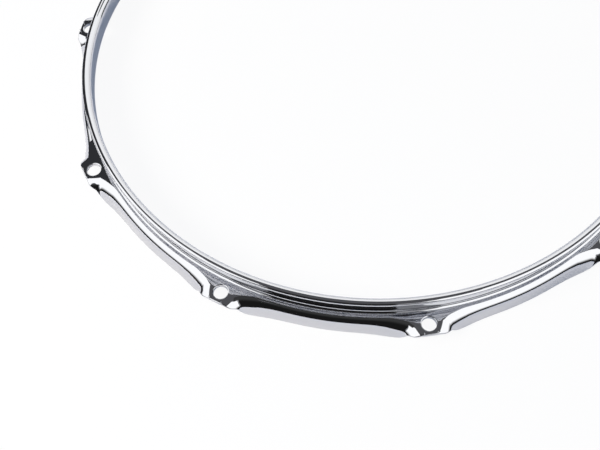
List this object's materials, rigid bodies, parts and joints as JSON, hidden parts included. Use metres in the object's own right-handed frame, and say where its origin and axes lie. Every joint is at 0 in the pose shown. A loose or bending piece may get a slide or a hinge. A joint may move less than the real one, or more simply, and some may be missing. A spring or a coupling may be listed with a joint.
{
  "type": "drum hoop",
  "caption": "Chromed pressed steel drum hoop with a turned-out lip, a wall, a folded skirt and flat ears drilled for the tension rods.",
  "frame": {"origin": "centre of the ring, in the plane that the skirt's foot stands on", "axes": "+Z along the ring's axis, from the skirt's foot to the lip; +X through the middle of an ear; the weld is at +Y, midway between two ears"},
  "size_m": [0.3962, 0.3818, 0.0255],
  "materials": {
    "chrome_plate": "bright chrome plate on pressed and polished steel",
    "weld_bead": "ground weld under the chrome plate"
  },
  "bodies": {
    "root": {"hoop_strip": "chrome_plate", "butt_weld": "weld_bead"}
  },
  "joints": []
}
